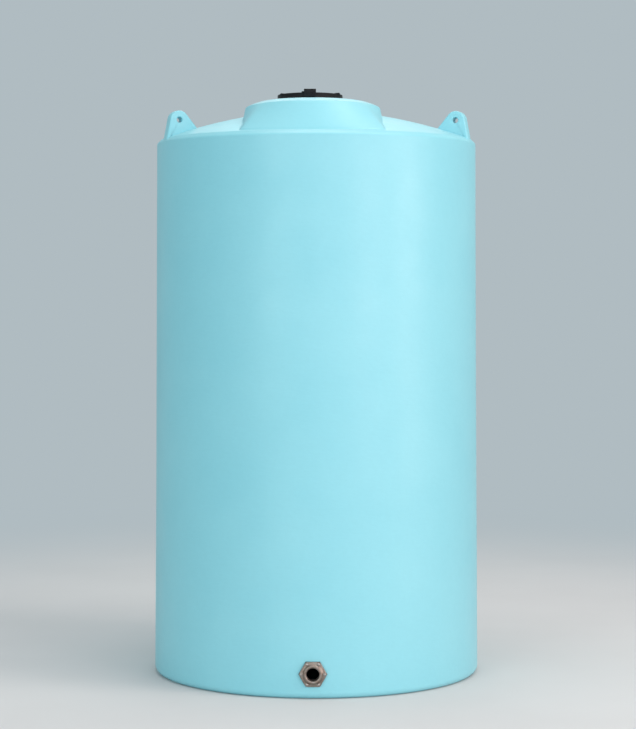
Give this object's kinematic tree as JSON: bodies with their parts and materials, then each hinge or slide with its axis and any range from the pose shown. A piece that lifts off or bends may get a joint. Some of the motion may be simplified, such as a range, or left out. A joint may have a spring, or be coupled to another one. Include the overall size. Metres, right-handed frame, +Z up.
{
  "type": "vertical storage tank",
  "caption": "Upright cylindrical moulded plastic storage tank with a domed roof, raised manway platform, hinged lid, lifting lugs and a bolted bottom outlet.",
  "frame": {"origin": "centre of the flat base, on the ground", "axes": "+Z up, the front with the outlet and the manway platform faces -Y, +X to the right as seen from the front"},
  "size_m": [2.2838, 2.3159, 4.063],
  "materials": {
    "polyethylene": "satin moulded skin with a fine grain",
    "black_plastic": "satin moulded",
    "black_rubber": "matt",
    "stainless": "weathered cast stainless, slightly brown"
  },
  "bodies": {
    "tank": {"tank_floor": "polyethylene", "wall_panel_1": "polyethylene", "wall_panel_2": "polyethylene", "wall_panel_3": "polyethylene", "wall_panel_4": "polyethylene", "wall_panel_5": "polyethylene", "wall_panel_6": "polyethylene", "wall_panel_7": "polyethylene", "wall_panel_8": "polyethylene", "wall_foot_left": "polyethylene", "outlet_pad": "polyethylene", "wall_foot_right": "polyethylene", "tank_roof": "polyethylene", "manway_platform": "polyethylene", "lifting_lug_left": "polyethylene", "lifting_lug_right": "polyethylene", "lifting_lug_back": "polyethylene", "manway_ring": "black_plastic", "manway_gasket": "black_rubber", "hinge_pin": "stainless", "outlet_outer_flange": "stainless", "outlet_outer_gasket": "black_rubber", "outlet_inner_gasket": "black_rubber", "outlet_inner_flange": "stainless", "outlet_bolt_1": "stainless", "outlet_bolt_2": "stainless", "outlet_bolt_3": "stainless", "outlet_bolt_4": "stainless", "outlet_bolt_5": "stainless", "outlet_bolt_6": "stainless"},
    "lid": {"manway_lid": "black_plastic", "lid_latch": "black_plastic"}
  },
  "joints": [
    {"name": "lid_hinge", "type": "hinge", "parent": "tank", "child": "lid", "pos_m": [-0.043, -0.284, 4.014], "axis": [-1, 0, 0], "range_deg": [0, 110]}
  ]
}
